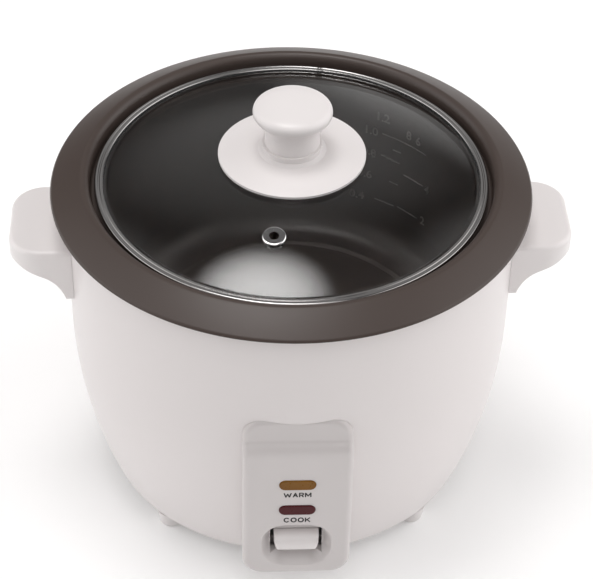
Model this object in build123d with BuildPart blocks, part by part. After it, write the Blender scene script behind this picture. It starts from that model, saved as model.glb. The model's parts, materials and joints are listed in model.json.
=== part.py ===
"""Rice cooker with a lift-out pot, a glass lid and a press-down cook lever.

Millimetres, +Z up. The origin is the floor point under the bowl's axis.
The control housing faces -Y, the handles lie along X and the power inlet faces +Y.
"""
import os
from math import cos, radians, sin, sqrt

from build123d import *

os.makedirs("parts", exist_ok=True)

# Outer body: a painted steel bowl, straight above bowl_top and one arc below it
body_radius = 117.6
body_top = 181.0
bowl_top = 105.0
base_radius = 101.5
base_height = 12.0
sheet = 1.2
mouth_radius = 110.0
base_flange_radius = 86.0
fit_gap = 0.05

# Inner pot
pot_wall = 1.8
pot_radius = 98.0
pot_floor = 79.0
pot_corner = 18.0
floor_step = 0.8
floor_step_radius = 76.0
floor_step_width = 3.5
brim_radius = 125.0
brim_lip = 182.0
crest_radius = 108.0
crest_height = 191.3
ledge_radius = 104.3
ledge_height = 181.8

# Lid
glass_thickness = 3.5
glass_radius = 101.2
glass_flat_radius = 96.0
glass_flat_top = 186.2
glass_top = 203.0
rim_radius = 102.0
rim_inner_radius = 97.4
rim_sheet = 0.4
vent_x = -11.0
vent_y = -62.0
skirt_radius = 38.0
collar_radius = 15.4
neck_radius = 14.2
knob_radius = 20.3
knob_top = 232.3
knob_seam = 208.5

# Inner shield and heating plate
shield_radius = 108.0
shield_sheet = 0.8
shield_floor = 52.0
shield_corner = 12.0
plate_radius = 80.0
plate_top = 77.0
plate_thickness = 6.0
plate_hole_radius = 18.5
element_radius = 58.0
element_tube = 3.5
element_height = plate_top - plate_thickness - 4.5
element_gap_angle = 15.0
leg_radius = 2.5
leg_bottom = 46.0
post_circle = 72.0
post_angles = (90, 210, 330)

# Thermostat in the middle of the plate
cap_radius = 17.0
cap_top = 77.1
cap_height = 10.0
magnet_radius = 10.0
magnet_top = 64.6
magnet_height = 5.0
ferrite_bottom = 70.1
sleeve_radius = 11.5
sleeve_bore = 10.3
rod_radius = 2.5
rod_bottom = 34.0
bracket_bottom = 50.0

# Cook lever
pivot_y = -60.0
pivot_z = 40.0
pin_radius = 2.0
running_clearance = 0.06
arm_half_width = 5.0
arm_thickness = 2.0
arm_front = -112.0
arm_rear = 4.0
ear_x = 9.0
ear_sheet = 1.2

# Control housing on the front
face_y = 123.5
housing_half_width = 28.0
housing_bottom = 18.0
face_top = 103.0
shoulder_y = 119.2
shoulder_z = 111.0
housing_top = 124.0
housing_wall = 2.2
soft_radius = 3.4
recess_width = 36.5
recess_height = 30.3
recess_z = 40.3
recess_depth = 6.5
recess_lip = 1.2
slot_width = 27.0
slot_bottom = 31.0
slot_top = 46.6
lens_length = 18.8
lens_width = 6.6
warm_z = 85.0
cook_z = 66.9

# Handles
handle_reach = 147.0
handle_half_width = 29.0
handle_top = 160.0
handle_root = 129.5
handle_wall = 2.6

# Base
cover_radius = 100.4
cover_thickness = 2.0
foot_circle = 93.0
foot_top_radius = 8.0
foot_bottom_radius = 6.4
foot_height = base_height - cover_thickness
foot_angles = (45, 135, 225, 315)

# Power inlet on the back
inlet_face = 121.0
inlet_z = 40.0
inlet_half_width = 22.0
inlet_half_height = 16.0
socket_half_width = 12.3
socket_half_height = 8.2
socket_depth = 17.0

bowl_drop = body_radius - base_radius
bowl_depth = bowl_top - base_height
bowl_arc = (bowl_depth**2 + bowl_drop**2) / (2 * bowl_drop)


def body_radius_at(z):
    """Outside radius of the body at height z."""
    below = max(bowl_top - z, 0)
    return body_radius - bowl_arc + sqrt(bowl_arc**2 - below**2)


def turned(*points):
    """A body turned about the Z axis from a closed outline of (radius, height) points."""
    with BuildSketch(Plane.XZ) as profile:
        with BuildLine():
            Polyline(*points, close=True)
        make_face()
    revolve(profile.sketch, axis=Axis.Z)


def upright_cylinder(x, y, bottom, top, radius, mode=Mode.ADD):
    """A cylinder along Z between two heights."""
    with BuildSketch(Plane.XY.offset(bottom)) as disc:
        with Locations((x, y)):
            Circle(radius)
    extrude(disc.sketch, amount=top - bottom, mode=mode)


def forward_cylinder(x, z, back, front, radius, mode=Mode.ADD):
    """A cylinder along Y between back and front, which is the more negative."""
    with BuildSketch(Plane.XZ.offset(-back)) as disc:
        with Locations((x, z)):
            Circle(radius)
    extrude(disc.sketch, amount=back - front, mode=mode)


def sideways_cylinder(y, z, low, high, radius, mode=Mode.ADD):
    """A cylinder along X between two values of x."""
    with BuildSketch(Plane.YZ.offset(low)) as disc:
        with Locations((y, z)):
            Circle(radius)
    extrude(disc.sketch, amount=high - low, mode=mode)


def on_circle(radius, angle):
    """The point at an angle on a circle about the axis."""
    return radius * cos(radians(angle)), radius * sin(radians(angle))


# ---------------------------------------------------------------- body envelope
# The space inside the body's outside face. Parts that sit on the body are cut back to it.
with BuildPart() as body_envelope:
    with BuildSketch(Plane.XZ):
        with BuildLine():
            axis_line = Line((0, base_height - 4), (0, body_top + 20))
            top_line = Line(axis_line @ 1, (body_radius + fit_gap, body_top + 20))
            side_line = Line(top_line @ 1, (body_radius + fit_gap, bowl_top))
            bowl_line = TangentArc(
                side_line @ 1, (base_radius + fit_gap, base_height), tangent=side_line % 1
            )
            skirt_line = Line(bowl_line @ 1, (base_radius + fit_gap, base_height - 4))
            Line(skirt_line @ 1, axis_line @ 0)
        make_face()
    revolve(axis=Axis.Z)


# ---------------------------------------------------------------- outer body
handle_screw_y = 17.0
handle_screw_z = 152.0
housing_screws_at = ((-20.0, 95.0), (20.0, 95.0), (-21.0, 26.0), (21.0, 26.0))
inlet_screw_x = 18.3

with BuildPart() as outer_body:
    with BuildSketch(Plane.XZ) as body_section:
        with BuildLine():
            inner_radius = body_radius - sheet
            mouth = Line((mouth_radius, body_top), (body_radius, body_top))
            outside = Line(mouth @ 1, (body_radius, bowl_top))
            outer_bowl = TangentArc(outside @ 1, (base_radius, base_height), tangent=outside % 1)
            under = Line(outer_bowl @ 1, (base_flange_radius, base_height))
            lip = Line(under @ 1, (base_flange_radius, base_height + sheet))
            flange = Line(lip @ 1, (base_radius - sheet, base_height + sheet))
            inside = Line((inner_radius, bowl_top), (inner_radius, body_top - sheet))
            TangentArc(inside @ 0, flange @ 1, tangent=-(inside % 0))
            shelf = Line(inside @ 1, (mouth_radius, body_top - sheet))
            Line(shelf @ 1, mouth @ 0)
        make_face()
        rolled = body_section.vertices().filter_by(lambda v: v.X > base_radius - 0.2)
        fillet(rolled.sort_by(Axis.X)[-1], radius=0.9)
    revolve(axis=Axis.Z)
    # window behind the control housing, for the lever and the lamps
    with BuildSketch(Plane.XZ.offset(90)):
        with Locations((0, 60)):
            Rectangle(32, 64)
    extrude(amount=40, mode=Mode.SUBTRACT)
    # window for the power inlet
    with BuildSketch(Plane.XZ.offset(-90)):
        with Locations((0, inlet_z)):
            Rectangle(30, 22)
    extrude(amount=-40, mode=Mode.SUBTRACT)
    for y in (-handle_screw_y, handle_screw_y):
        sideways_cylinder(y, handle_screw_z, -130, 130, 1.7, Mode.SUBTRACT)
    for x, z in housing_screws_at:
        forward_cylinder(x, z, -90, -130, 1.7, Mode.SUBTRACT)
    for x in (-inlet_screw_x, inlet_screw_x):
        forward_cylinder(x, inlet_z, 130, 90, 1.8, Mode.SUBTRACT)
    for angle in foot_angles:
        upright_cylinder(*on_circle(foot_circle, angle), 11, 15, 1.8, Mode.SUBTRACT)
outer_body.part.label = "outer_body"
export_step(outer_body.part, "parts/outer_body.step")

# ---------------------------------------------------------------- inner shield
flange_top = body_top - sheet - fit_gap
leg_spots = [on_circle(element_radius, 90 + s * element_gap_angle) for s in (-1, 1)]

with BuildPart() as inner_shield:
    with BuildSketch(Plane.XZ):
        with BuildLine():
            wall_out = Line(
                (shield_radius, flange_top - shield_sheet), (shield_radius, shield_floor + 11)
            )
            corner_out = TangentArc(
                wall_out @ 1,
                (shield_radius - shield_corner + 0.2, shield_floor - shield_sheet),
                tangent=wall_out % 1,
            )
            floor_under = Line(corner_out @ 1, (30, shield_floor - shield_sheet))
            hole_edge = Line(floor_under @ 1, (30, shield_floor))
            floor_over = Line(hole_edge @ 1, (shield_radius - shield_corner, shield_floor))
            wall_in = Line(
                (shield_radius - shield_sheet, shield_floor + 11),
                (shield_radius - shield_sheet, flange_top),
            )
            TangentArc(wall_in @ 0, floor_over @ 1, tangent=-(wall_in % 0))
            flange_over = Line(wall_in @ 1, (114, flange_top))
            flange_edge = Line(flange_over @ 1, (114, flange_top - shield_sheet))
            Line(flange_edge @ 1, wall_out @ 0)
        make_face()
    revolve(axis=Axis.Z)
    for angle in post_angles:
        upright_cylinder(*on_circle(post_circle, angle), 50, 54, 2.0, Mode.SUBTRACT)
    for x, y in leg_spots:
        upright_cylinder(x, y, 50, 54, 4.5, Mode.SUBTRACT)
inner_shield.part.label = "inner_shield"
export_step(inner_shield.part, "parts/inner_shield.step")

# ---------------------------------------------------------------- bottom cover, feet
with BuildPart() as bottom_cover:
    turned(
        (0, base_height),
        (cover_radius, base_height),
        (cover_radius, base_height - 1.2),
        (cover_radius - 0.8, foot_height),
        (72, foot_height),
        (70, foot_height + 0.6),
        (0, foot_height + 0.6),
    )
    with BuildSketch(Plane.XY.offset(foot_height - 1)):
        with PolarLocations(56, 16):
            SlotOverall(18, 3.6)
        with PolarLocations(30, 10):
            SlotOverall(14, 3.6)
    extrude(amount=5, mode=Mode.SUBTRACT)
    for angle in foot_angles:
        upright_cylinder(*on_circle(foot_circle, angle), 8, 15, 1.8, Mode.SUBTRACT)
bottom_cover.part.label = "bottom_cover"
export_step(bottom_cover.part, "parts/bottom_cover.step")

with BuildPart() as feet:
    for angle in foot_angles:
        foot_x, foot_y = on_circle(foot_circle, angle)
        with BuildSketch(Plane.XY):
            with Locations((foot_x, foot_y)):
                Circle(foot_bottom_radius)
        with BuildSketch(Plane.XY.offset(foot_height)):
            with Locations((foot_x, foot_y)):
                Circle(foot_top_radius)
        loft()
    fillet(feet.edges().group_by(Axis.Z)[0], radius=1.4)
    for angle in foot_angles:
        foot_x, foot_y = on_circle(foot_circle, angle)
        upright_cylinder(foot_x, foot_y, 0, 6, 4.0, Mode.SUBTRACT)
        upright_cylinder(foot_x, foot_y, 6, foot_height, 1.8, Mode.SUBTRACT)
feet.part.label = "feet"
export_step(feet.part, "parts/feet.step")

with BuildPart() as foot_screws:
    for angle in foot_angles:
        foot_x, foot_y = on_circle(foot_circle, angle)
        upright_cylinder(foot_x, foot_y, 3.8, 5.95, 3.3)
        upright_cylinder(foot_x, foot_y, 5.95, 17, 1.7)
        with BuildSketch(Plane.XY.offset(3.8)):
            with Locations((foot_x, foot_y)):
                Rectangle(4.2, 0.9)
                Rectangle(0.9, 4.2)
        extrude(amount=1.3, mode=Mode.SUBTRACT)
foot_screws.part.label = "foot_screws"
export_step(foot_screws.part, "parts/foot_screws.step")


# ---------------------------------------------------------------- handles
def handle_form(inset):
    """The handle's outside form, or its hollow when inset is above zero, towards +X."""
    reach = handle_reach - inset
    half = handle_half_width - inset
    with BuildSketch(Plane.XZ.offset(-half)) as section:
        with BuildLine():
            top = Line((100, handle_top - inset), (reach, handle_top - inset))
            nose = Line(top @ 1, (reach, handle_top - 9.5 + inset))
            lower = Spline(
                nose @ 1,
                (handle_reach - 9.5 - inset / 2, handle_top - 12.6 + inset),
                (handle_reach - 20 - inset / 2, handle_top - 17.4 + inset),
                (body_radius + 0.5 - inset, handle_root + inset),
                tangents=((-1, -0.12), (-0.3, -1)),
            )
            root = Line(lower @ 1, (100, handle_root + inset))
            Line(root @ 1, top @ 0)
        make_face()
    extrude(section.sketch, amount=2 * half)


def rounded_plan(inset):
    """Rounds the two outer corners of the handle, seen from above."""
    reach = handle_reach - inset
    half = handle_half_width - inset
    with BuildSketch(Plane.XY.offset(handle_root - 10)) as plan:
        with BuildLine():
            Polyline((90, -half), (reach, -half), (reach, half), (90, half), close=True)
        make_face()
        fillet(plan.vertices().group_by(Axis.X)[-1], radius=17 - inset)
    extrude(plan.sketch, amount=60, mode=Mode.INTERSECT)


with BuildPart() as handle_hollow:
    handle_form(handle_wall)
    rounded_plan(handle_wall)
    for y in (-handle_screw_y, handle_screw_y):
        sideways_cylinder(y, handle_screw_z, 100, 150, 3.6, Mode.SUBTRACT)

with BuildPart() as handle_right:
    handle_form(0)
    rounded_plan(0)
    upper = handle_right.faces().sort_by(Axis.Z)[-1]
    fillet(upper.edges().filter_by(lambda e: e.center().X > 101), radius=2.6)
    add(handle_hollow.part, mode=Mode.SUBTRACT)
    for y in (-handle_screw_y, handle_screw_y):
        sideways_cylinder(y, handle_screw_z, 100, 134, 1.55, Mode.SUBTRACT)
    add(body_envelope.part, mode=Mode.SUBTRACT)
handle_right.part.label = "handle_right"
export_step(handle_right.part, "parts/handle_right.step")

with BuildPart() as handle_left:
    add(handle_right.part)
    mirror(about=Plane.YZ, mode=Mode.REPLACE)
handle_left.part.label = "handle_left"
export_step(handle_left.part, "parts/handle_left.step")

with BuildPart() as handle_screws:
    for y in (-handle_screw_y, handle_screw_y):
        head = sqrt((body_radius - sheet) ** 2 - (abs(y) + 3) ** 2)
        for side in (-1, 1):
            low, high = sorted((side * (head - 2.2), side * head))
            sideways_cylinder(y, handle_screw_z, low, high, 3.0)
            low, high = sorted((side * head, side * 131))
            sideways_cylinder(y, handle_screw_z, low, high, 1.5)
handle_screws.part.label = "handle_screws"
export_step(handle_screws.part, "parts/handle_screws.step")


# ---------------------------------------------------------------- control housing
def housing_form(inset):
    """The housing's outside form, or its hollow when inset is above zero."""
    front = face_y - inset
    half = housing_half_width - inset
    with BuildSketch(Plane.XZ.offset(90)) as outline:
        with BuildLine():
            Polyline(
                (-half, housing_bottom + inset),
                (half, housing_bottom + inset),
                (half, housing_top - inset),
                (-half, housing_top - inset),
                close=True,
            )
        make_face()
        fillet(outline.vertices().group_by(Axis.Y)[0], radius=11 - inset)
        fillet(outline.vertices().group_by(Axis.Y)[-1], radius=12 - inset)
    extrude(outline.sketch, amount=front - 90)
    with BuildSketch(Plane.YZ) as wedge:
        with BuildLine():
            round_over = TangentArc(
                (-front, face_top - inset), (-shoulder_y + inset, shoulder_z - inset), tangent=(0, 1)
            )
            slope = Line(round_over @ 1, (-body_radius + 0.4 + inset, housing_top + 1))
            ahead = Line(slope @ 1, (-front - 10, housing_top + 1))
            down = Line(ahead @ 1, (-front - 10, face_top - inset))
            Line(down @ 1, round_over @ 0)
        make_face()
    extrude(wedge.sketch, amount=housing_half_width + 5, both=True, mode=Mode.SUBTRACT)


with BuildPart() as housing_hollow:
    housing_form(housing_wall)
    # material left behind the finger recess
    with BuildSketch(Plane.XZ.offset(face_y - housing_wall - recess_depth)):
        with Locations((0, recess_z)):
            Rectangle(recess_width + 3, recess_height + 4)
    extrude(amount=recess_depth + 1, mode=Mode.SUBTRACT)
    for x, z in housing_screws_at:
        forward_cylinder(x, z, -88, -130, 3.4, Mode.SUBTRACT)
    for x in (-11, 11):
        forward_cylinder(x, 76, -111, -130, 2.2, Mode.SUBTRACT)

with BuildPart() as control_housing:
    housing_form(0)
    shoulder = control_housing.faces().filter_by(GeomType.CYLINDER).sort_by(Axis.Y)[0]
    fillet(shoulder.edges().sort_by(Axis.Y)[-1], radius=2.5)
    face = control_housing.faces().sort_by(Axis.Y)[0]
    face_sides = face.edges().sort_by(Axis.Z)[:-1]
    crown_sides = control_housing.edges().filter_by(
        lambda e: e.center().Y < -body_radius + 0.3 and e.center().Z > face_top + 1 and abs(e.center().X) > 5
    )
    fillet(face_sides + crown_sides, radius=soft_radius)
    add(housing_hollow.part, mode=Mode.SUBTRACT)
    # finger recess with sloping walls
    with BuildSketch(Plane.XZ.offset(face_y)):
        with Locations((0, recess_z)):
            RectangleRounded(recess_width, recess_height, 13)
    extrude(amount=-recess_depth, taper=33, mode=Mode.SUBTRACT)
    mouth = control_housing.edges().filter_by(
        lambda e: abs(e.center().Y + face_y) < 0.01
        and abs(e.center().X) < recess_width / 2 + 1
        and abs(e.center().Z - recess_z) < recess_height / 2 + 1
    )
    fillet(mouth, radius=recess_lip)
    # slot for the lever
    with BuildSketch(Plane.XZ.offset(90)):
        with Locations((0, (slot_bottom + slot_top) / 2)):
            Rectangle(slot_width, slot_top - slot_bottom)
    extrude(amount=face_y - 90, mode=Mode.SUBTRACT)
    # lens windows
    with BuildSketch(Plane.XZ.offset(face_y + 1)):
        with Locations((0, warm_z), (0, cook_z)):
            SlotOverall(lens_length + 2 * fit_gap, lens_width + 2 * fit_gap)
    extrude(amount=-6, mode=Mode.SUBTRACT)
    for x, z in housing_screws_at:
        forward_cylinder(x, z, -88, -119, 1.55, Mode.SUBTRACT)
    add(body_envelope.part, mode=Mode.SUBTRACT)
control_housing.part.label = "control_housing"
export_step(control_housing.part, "parts/control_housing.step")

with BuildPart() as housing_screws:
    for x, z in housing_screws_at:
        slant = 3.0 * bowl_drop / bowl_depth if z < bowl_top - 30 else 0.0
        head = sqrt((body_radius_at(z - 3) - sheet) ** 2 - (abs(x) + 3) ** 2) - slant
        forward_cylinder(x, z, -(head - 2.2), -head, 3.0)
        forward_cylinder(x, z, -head, -118.5, 1.5)
housing_screws.part.label = "housing_screws"
export_step(housing_screws.part, "parts/housing_screws.step")


def lens_outline(z):
    """One oblong lens, standing slightly proud of the face."""
    with BuildSketch(Plane.XZ.offset(face_y - housing_wall - 1)) as oblong:
        with Locations((0, z)):
            SlotOverall(lens_length, lens_width)
    extrude(oblong.sketch, amount=housing_wall + 1.7)


with BuildPart() as warm_lens:
    lens_outline(warm_z)
    fillet(warm_lens.faces().sort_by(Axis.Y)[0].edges(), radius=0.6)
warm_lens.part.label = "warm_lens"
export_step(warm_lens.part, "parts/warm_lens.step")

with BuildPart() as cook_lens:
    lens_outline(cook_z)
    fillet(cook_lens.faces().sort_by(Axis.Y)[0].edges(), radius=0.6)
cook_lens.part.label = "cook_lens"
export_step(cook_lens.part, "parts/cook_lens.step")

board_front = -111.0
board_thickness = 1.6

with BuildPart() as lamp_holder:
    with BuildSketch(Plane.XZ.offset(-board_front - board_thickness)):
        with Locations((0, (warm_z + cook_z) / 2)):
            RectangleRounded(27, 32, 2)
    extrude(amount=board_thickness - fit_gap)
lamp_holder.part.label = "lamp_holder"
export_step(lamp_holder.part, "parts/lamp_holder.step")


def neon_lamp(z):
    """A small glow lamp standing on the holder behind a lens."""
    forward_cylinder(0, z, board_front, -117.0, 2.6)


with BuildPart() as warm_lamp:
    neon_lamp(warm_z)
    fillet(warm_lamp.faces().sort_by(Axis.Y)[0].edges(), radius=2.0)
warm_lamp.part.label = "warm_lamp"
export_step(warm_lamp.part, "parts/warm_lamp.step")

with BuildPart() as cook_lamp:
    neon_lamp(cook_z)
    fillet(cook_lamp.faces().sort_by(Axis.Y)[0].edges(), radius=2.0)
cook_lamp.part.label = "cook_lamp"
export_step(cook_lamp.part, "parts/cook_lamp.step")

# ---------------------------------------------------------------- heating plate
plate_bottom = plate_top - plate_thickness
rib_bottom = element_height - element_tube - 1.5

with BuildPart() as heating_plate:
    turned(
        (plate_hole_radius, plate_bottom),
        (element_radius - 7, plate_bottom),
        (element_radius - 7, rib_bottom),
        (element_radius + 7, rib_bottom),
        (element_radius + 7, plate_bottom),
        (plate_radius, plate_bottom),
        (plate_radius, plate_top - 1.5),
        (plate_radius - 1.5, plate_top),
        (plate_hole_radius + 1, plate_top),
        (plate_hole_radius, plate_top - 1),
    )
    # channel for the heating element
    with BuildSketch(Plane.XZ):
        with Locations((element_radius, element_height)):
            Circle(element_tube + fit_gap)
    revolve(axis=Axis.Z, mode=Mode.SUBTRACT)
    for x, y in leg_spots:
        upright_cylinder(x, y, rib_bottom - 1, element_height, leg_radius + 0.4, Mode.SUBTRACT)
    for angle in post_angles:
        upright_cylinder(*on_circle(post_circle, angle), plate_bottom - 1, 75, 1.85, Mode.SUBTRACT)
heating_plate.part.label = "heating_plate"
export_step(heating_plate.part, "parts/heating_plate.step")

start_angle = 90 + element_gap_angle
start_plane = Plane(
    origin=(0, 0, 0),
    x_dir=(cos(radians(start_angle)), sin(radians(start_angle)), 0),
    z_dir=(sin(radians(start_angle)), -cos(radians(start_angle)), 0),
)

with BuildPart() as heating_element:
    with BuildSketch(start_plane):
        with Locations((element_radius, element_height)):
            Circle(element_tube)
    revolve(axis=Axis.Z, revolution_arc=360 - 2 * element_gap_angle)
    for x, y in leg_spots:
        upright_cylinder(x, y, leg_bottom, element_height, leg_radius)
heating_element.part.label = "heating_element"
export_step(heating_element.part, "parts/heating_element.step")

with BuildPart() as plate_posts:
    for angle in post_angles:
        post_x, post_y = on_circle(post_circle, angle)
        upright_cylinder(post_x, post_y, shield_floor + fit_gap, plate_bottom - fit_gap, 4.0)
        upright_cylinder(post_x, post_y, shield_floor, plate_bottom, 1.9, Mode.SUBTRACT)
plate_posts.part.label = "plate_posts"
export_step(plate_posts.part, "parts/plate_posts.step")

with BuildPart() as plate_screws:
    for angle in post_angles:
        post_x, post_y = on_circle(post_circle, angle)
        upright_cylinder(post_x, post_y, 48.9, shield_floor - shield_sheet - fit_gap, 3.4)
        upright_cylinder(post_x, post_y, shield_floor - shield_sheet - fit_gap, 74.5, 1.75)
plate_screws.part.label = "plate_screws"
export_step(plate_screws.part, "parts/plate_screws.step")

# ---------------------------------------------------------------- thermostat
with BuildPart() as thermostat_bracket:
    turned(
        (sleeve_radius + 0.8, bracket_bottom),
        (36, bracket_bottom),
        (36, shield_floor - shield_sheet - fit_gap),
        (sleeve_radius + 0.8, shield_floor - shield_sheet - fit_gap),
    )
thermostat_bracket.part.label = "thermostat_bracket"
export_step(thermostat_bracket.part, "parts/thermostat_bracket.step")

with BuildPart() as sensor_cap:
    turned(
        (0, cap_top - 1),
        (cap_radius - 1, cap_top - 1),
        (cap_radius - 1, cap_top - cap_height),
        (cap_radius, cap_top - cap_height),
        (cap_radius, cap_top - 0.8),
        (cap_radius - 0.8, cap_top),
        (0, cap_top),
    )
sensor_cap.part.label = "sensor_cap"
export_step(sensor_cap.part, "parts/sensor_cap.step")

with BuildPart() as ferrite:
    turned(
        (5, ferrite_bottom),
        (magnet_radius, ferrite_bottom),
        (magnet_radius, cap_top - 1),
        (5, cap_top - 1),
    )
ferrite.part.label = "ferrite"
export_step(ferrite.part, "parts/ferrite.step")

with BuildPart() as sensor_sleeve:
    turned(
        (sleeve_bore, 47.6),
        (sleeve_radius, 47.6),
        (sleeve_radius, ferrite_bottom - 1.1),
        (cap_radius - 1.05, ferrite_bottom - 1.1),
        (cap_radius - 1.05, ferrite_bottom),
        (sleeve_bore, ferrite_bottom),
    )
sensor_sleeve.part.label = "sensor_sleeve"
export_step(sensor_sleeve.part, "parts/sensor_sleeve.step")

with BuildPart() as magnet:
    turned(
        (0, magnet_top - magnet_height),
        (magnet_radius, magnet_top - magnet_height),
        (magnet_radius, magnet_top),
        (5, magnet_top),
        (5, magnet_top - magnet_height + 1),
        (0, magnet_top - magnet_height + 1),
    )
magnet.part.label = "magnet"
export_step(magnet.part, "parts/magnet.step")

collar_bottom = pivot_z + arm_thickness / 2 + 0.6

with BuildPart() as magnet_rod:
    upright_cylinder(0, 0, rod_bottom, magnet_top - magnet_height, rod_radius)
    upright_cylinder(0, 0, collar_bottom, collar_bottom + 2, 6.0)
magnet_rod.part.label = "magnet_rod"
export_step(magnet_rod.part, "parts/magnet_rod.step")


def coil_spring(coil_radius, wire_radius, bottom, top, turns):
    """An open coil spring of round wire about the Z axis."""
    rise = top - bottom - 2 * wire_radius
    path = Helix(
        pitch=rise / turns, height=rise, radius=coil_radius, center=(0, 0, bottom + wire_radius)
    )
    with BuildSketch(Plane(origin=path @ 0, z_dir=path % 0)) as wire:
        Circle(wire_radius)
    sweep(wire.sketch, path=path)


with BuildPart() as magnet_spring:
    coil_spring(4.0, 0.4, magnet_top - magnet_height + 1.1, cap_top - 1.1, 6)
magnet_spring.part.label = "magnet_spring"
export_step(magnet_spring.part, "parts/magnet_spring.step")

with BuildPart() as sensor_spring:
    coil_spring(13.9, 0.7, shield_floor - shield_sheet + 0.1, ferrite_bottom - 1.2, 5)
sensor_spring.part.label = "sensor_spring"
export_step(sensor_spring.part, "parts/sensor_spring.step")

# ---------------------------------------------------------------- cook lever
paddle_half_width = 11.6
paddle_top = slot_top - 0.6
paddle_bottom = 36.6

with BuildPart() as cook_lever:
    with BuildSketch(Plane.YZ.offset(-paddle_half_width)):
        with BuildLine():
            back = Line((-103, paddle_bottom), (-103, paddle_top))
            deck = Line(back @ 1, (-116.5, paddle_top))
            brow = TangentArc(deck @ 1, (-124.4, 39.4), tangent=deck % 1)
            chin = TangentArc(brow @ 1, (-121.6, 37.0), tangent=brow % 1)
            Line(chin @ 1, back @ 0)
        make_face()
    extrude(amount=2 * paddle_half_width)
    # round the front corners, seen from above
    with BuildSketch(Plane.XY.offset(30)) as paddle_plan:
        with BuildLine():
            Polyline(
                (-paddle_half_width, -100),
                (-paddle_half_width, -125),
                (paddle_half_width, -125),
                (paddle_half_width, -100),
                close=True,
            )
        make_face()
        fillet(paddle_plan.vertices().group_by(Axis.Y)[0], radius=4.5)
    extrude(amount=30, mode=Mode.INTERSECT)
    # round the lower corners, seen from the front
    with BuildSketch(Plane.XZ.offset(100)) as paddle_face:
        with BuildLine():
            Polyline(
                (-paddle_half_width, paddle_bottom),
                (-paddle_half_width, slot_top),
                (paddle_half_width, slot_top),
                (paddle_half_width, paddle_bottom),
                close=True,
            )
        make_face()
        fillet(paddle_face.vertices().group_by(Axis.Y)[0], radius=5.2)
    extrude(amount=30, mode=Mode.INTERSECT)
    # pocket for the arm
    with BuildSketch(Plane.XZ.offset(100)):
        with Locations((0, pivot_z)):
            Rectangle(2 * arm_half_width + 0.1, arm_thickness + 0.1)
    extrude(amount=-arm_front - 100 + 0.1, mode=Mode.SUBTRACT)
cook_lever.part.label = "cook_lever"
export_step(cook_lever.part, "parts/cook_lever.step")

with BuildPart() as lever_arm:
    with BuildSketch(Plane.XY.offset(pivot_z - arm_thickness / 2)):
        with Locations((0, (arm_front + arm_rear) / 2)):
            Rectangle(2 * arm_half_width, arm_rear - arm_front)
    extrude(amount=arm_thickness)
    sideways_cylinder(pivot_y, pivot_z, -8, 8, 4)
    sideways_cylinder(pivot_y, pivot_z, -9, 9, pin_radius + running_clearance, Mode.SUBTRACT)
    # fork that straddles the magnet rod
    with BuildSketch(Plane.XY.offset(pivot_z - 5)):
        with Locations((0, 0)):
            Rectangle(6.6, 14)
    extrude(amount=10, mode=Mode.SUBTRACT)
lever_arm.part.label = "lever_arm"
export_step(lever_arm.part, "parts/lever_arm.step")

bracket_top = shield_floor - shield_sheet - fit_gap

with BuildPart() as lever_bracket:
    with BuildSketch(Plane.XY.offset(bracket_top - ear_sheet)):
        with Locations((0, -72)):
            Rectangle(2 * (ear_x + ear_sheet), 46)
    extrude(amount=ear_sheet)
    for side in (-1, 1):
        with BuildSketch(Plane.YZ.offset(side * (ear_x + ear_sheet / 2))):
            with BuildLine():
                Polyline(
                    (-95, 22),
                    (-70, 22),
                    (-52, 36),
                    (-52, bracket_top),
                    (-95, bracket_top),
                    close=True,
                )
            make_face()
        extrude(amount=ear_sheet / 2, both=True)
    sideways_cylinder(pivot_y, pivot_z, -20, 20, pin_radius + 0.02, Mode.SUBTRACT)
    for y in (-88, -76):
        sideways_cylinder(y, 24.5, -20, 20, 1.0, Mode.SUBTRACT)
lever_bracket.part.label = "lever_bracket"
export_step(lever_bracket.part, "parts/lever_bracket.step")

with BuildPart() as lever_pin:
    sideways_cylinder(pivot_y, pivot_z, -12, 12, pin_radius)
    sideways_cylinder(pivot_y, pivot_z, -13.2, -12, 3.2)
lever_pin.part.label = "lever_pin"
export_step(lever_pin.part, "parts/lever_pin.step")

# ---------------------------------------------------------------- contact switch
switch_top = 33.0
button_y = -82.0

with BuildPart() as contact_switch:
    with BuildSketch(Plane.XY.offset(20)):
        with Locations((0, button_y)):
            Rectangle(2 * ear_x - 0.1, 20)
    extrude(amount=switch_top - 20)
    upright_cylinder(0, button_y, 26, switch_top, 1.9, Mode.SUBTRACT)
    for y in (-88, -76):
        sideways_cylinder(y, 24.5, -20, 20, 1.0, Mode.SUBTRACT)
contact_switch.part.label = "contact_switch"
export_step(contact_switch.part, "parts/contact_switch.step")

with BuildPart() as switch_button:
    upright_cylinder(0, button_y, 30.0, pivot_z - arm_thickness / 2 - 0.3, 1.6)
switch_button.part.label = "switch_button"
export_step(switch_button.part, "parts/switch_button.step")

with BuildPart() as switch_screws:
    for y in (-88, -76):
        sideways_cylinder(y, 24.5, -11.2, 11.2, 0.95)
        sideways_cylinder(y, 24.5, 10.25, 12.0, 2.0)
        sideways_cylinder(y, 24.5, -12.0, -10.25, 2.0)
switch_screws.part.label = "switch_screws"
export_step(switch_screws.part, "parts/switch_screws.step")

with BuildPart() as switch_terminals:
    for y in (-89, -75):
        with BuildSketch(Plane.XY.offset(15)):
            with Locations((0, y)):
                Rectangle(5, 0.8)
        extrude(amount=4.95)
switch_terminals.part.label = "switch_terminals"
export_step(switch_terminals.part, "parts/switch_terminals.step")

# ---------------------------------------------------------------- power inlet
socket_floor = inlet_face - socket_depth

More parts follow.
